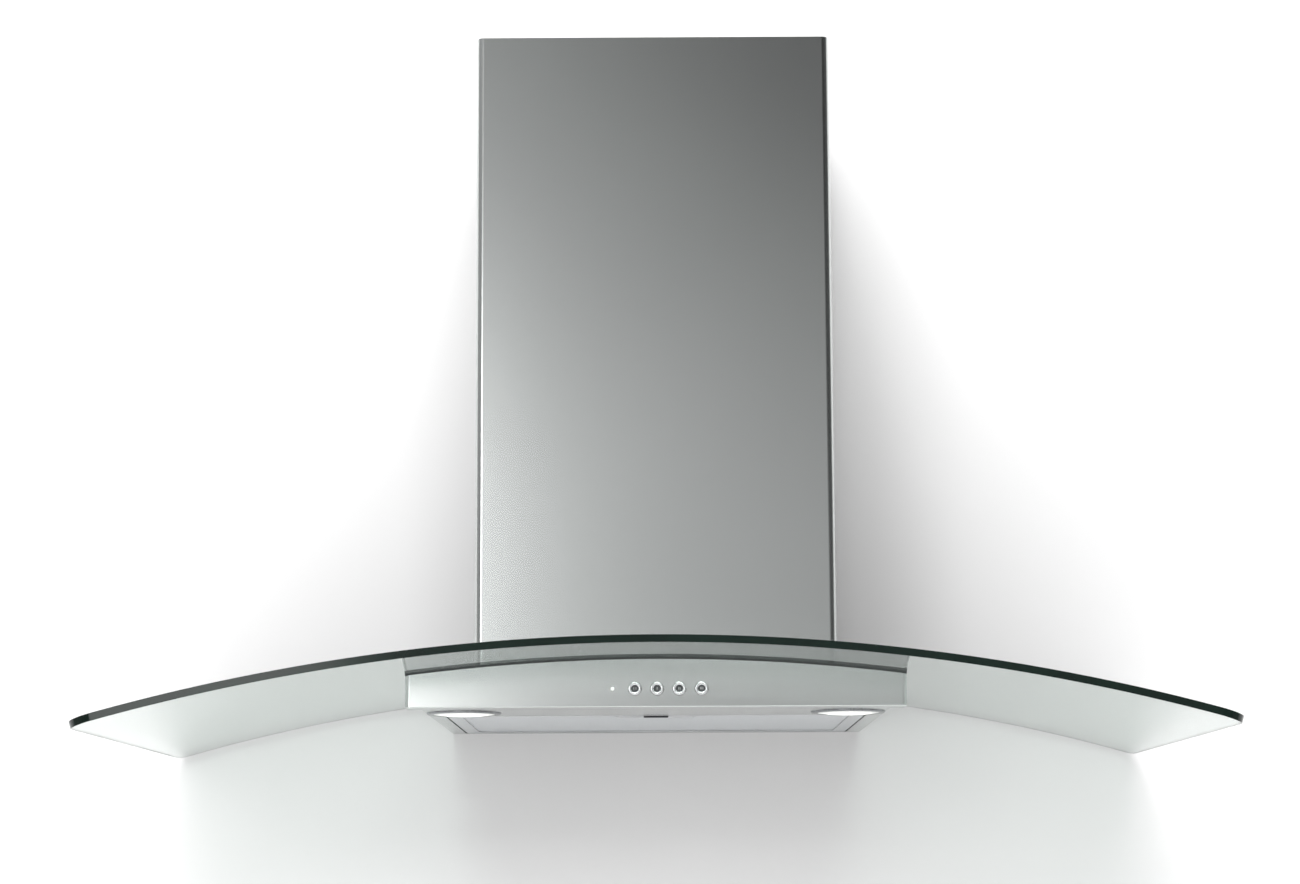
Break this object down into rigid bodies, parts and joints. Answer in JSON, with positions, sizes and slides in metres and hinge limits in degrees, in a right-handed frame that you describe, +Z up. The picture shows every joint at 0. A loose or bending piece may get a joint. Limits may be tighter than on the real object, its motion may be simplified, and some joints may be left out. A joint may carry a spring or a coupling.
{
  "type": "curved glass chimney range hood",
  "caption": "Wall-mounted chimney range hood with an arched glass canopy, a brushed steel body and telescopic cover, push-button controls and a hinged grease filter.",
  "frame": {"origin": "where the centre line meets the wall, level with the underside of the body", "axes": "+X to the viewer's right, +Y into the wall, +Z up; the front faces -Y"},
  "size_m": [0.9, 0.5, 0.6143],
  "materials": {
    "tempered_glass": "clear, polished edges",
    "black_rubber": "matte",
    "brushed_steel": "brushed",
    "galvanised_steel": "galvanised",
    "plated_steel": "zinc plated",
    "grey_plastic": "moulded",
    "dark_plastic": "moulded",
    "white_nylon": "moulded",
    "cast_aluminium": "cast",
    "aluminium": "mill finish",
    "aluminium_mesh": "expanded mesh",
    "latch_metal": "satin",
    "lamp_bezel": "satin",
    "frosted_lens": "frosted",
    "lamp_glow": "lit",
    "button_cap": "satin chrome look",
    "indicator_lens": "clear",
    "circuit_board": "laminate"
  },
  "bodies": {
    "hood": {"glass_canopy": "tempered_glass", "perimeter_gasket": "black_rubber", "blower_gasket": "black_rubber", "canopy_body": "brushed_steel", "control_fascia": "brushed_steel", "fascia_screws": "plated_steel", "switch_board": "circuit_board", "tact_switches": "dark_plastic", "indicator_lens": "indicator_lens", "control_box": "dark_plastic", "control_box_lid": "dark_plastic", "lamp_housing_left": "lamp_bezel", "lamp_housing_right": "lamp_bezel", "lamp_lens_left": "frosted_lens", "lamp_lens_right": "frosted_lens", "lamp_bulb_left": "lamp_glow", "lamp_bulb_right": "lamp_glow", "filter_pivot_left": "galvanised_steel", "filter_pivot_right": "galvanised_steel", "blower_box": "galvanised_steel", "blower_back": "galvanised_steel", "blower_top": "galvanised_steel", "blower_flange": "galvanised_steel", "outlet_collar": "dark_plastic", "collar_screws": "plated_steel", "flap_pin": "plated_steel", "scroll_left": "grey_plastic", "scroll_right": "grey_plastic", "motor": "cast_aluminium", "motor_bracket": "galvanised_steel", "motor_bushes": "black_rubber", "motor_screws": "plated_steel", "capacitor": "white_nylon", "terminal_block": "white_nylon", "cable_gland": "dark_plastic", "lower_chimney": "brushed_steel", "chimney_clip_left": "galvanised_steel", "chimney_clip_right": "galvanised_steel", "chimney_screws": "plated_steel", "wall_hook_left": "galvanised_steel", "wall_hook_right": "galvanised_steel", "glass_bushes": "white_nylon", "glass_screws": "plated_steel"},
    "inner_cover": {"upper_chimney": "brushed_steel", "chimney_bracket": "galvanised_steel", "bracket_screws": "plated_steel"},
    "fan": {"impeller": "dark_plastic", "motor_shaft": "plated_steel"},
    "front_flap": {"flap_front": "dark_plastic"},
    "rear_flap": {"flap_rear": "dark_plastic"},
    "filter": {"filter_frame": "aluminium", "filter_screen": "aluminium_mesh", "filter_core": "aluminium_mesh", "latch_spring": "plated_steel"},
    "latch": {"filter_latch": "latch_metal"},
    "button_light": {"light_button": "button_cap"},
    "button_one": {"speed_one_button": "button_cap"},
    "button_two": {"speed_two_button": "button_cap"},
    "button_three": {"speed_three_button": "button_cap"}
  },
  "joints": [
    {"name": "cover_slide", "type": "slide", "parent": "hood", "child": "inner_cover", "axis": [0, 0, 1], "range_m": [0, 0.38]},
    {"name": "fan_spin", "type": "hinge", "parent": "hood", "child": "fan", "pos_m": [0, -0.102, 0.165], "axis": [1, 0, 0], "continuous": true},
    {"name": "front_flap_hinge", "type": "hinge", "parent": "hood", "child": "front_flap", "pos_m": [0, -0.148, 0.334], "axis": [-1, 0, 0], "range_deg": [0, 75]},
    {"name": "rear_flap_hinge", "type": "hinge", "parent": "hood", "child": "rear_flap", "pos_m": [0, -0.148, 0.334], "axis": [1, 0, 0], "range_deg": [0, 75]},
    {"name": "filter_hinge", "type": "hinge", "parent": "hood", "child": "filter", "pos_m": [0, -0.02, 0.0045], "axis": [1, 0, 0], "range_deg": [0, 60]},
    {"name": "latch_slide", "type": "slide", "parent": "filter", "child": "latch", "axis": [0, 1, 0], "range_m": [0, 0.006], "stiffness_N_per_m": 200, "deforming": ["latch_spring"]},
    {"name": "light_press", "type": "slide", "parent": "hood", "child": "button_light", "axis": [0, 1, 0], "range_m": [0, 0.0015], "stiffness_N_per_m": 300},
    {"name": "speed_one_press", "type": "slide", "parent": "hood", "child": "button_one", "axis": [0, 1, 0], "range_m": [0, 0.0015], "stiffness_N_per_m": 300},
    {"name": "speed_two_press", "type": "slide", "parent": "hood", "child": "button_two", "axis": [0, 1, 0], "range_m": [0, 0.0015], "stiffness_N_per_m": 300},
    {"name": "speed_three_press", "type": "slide", "parent": "hood", "child": "button_three", "axis": [0, 1, 0], "range_m": [0, 0.0015], "stiffness_N_per_m": 300}
  ]
}
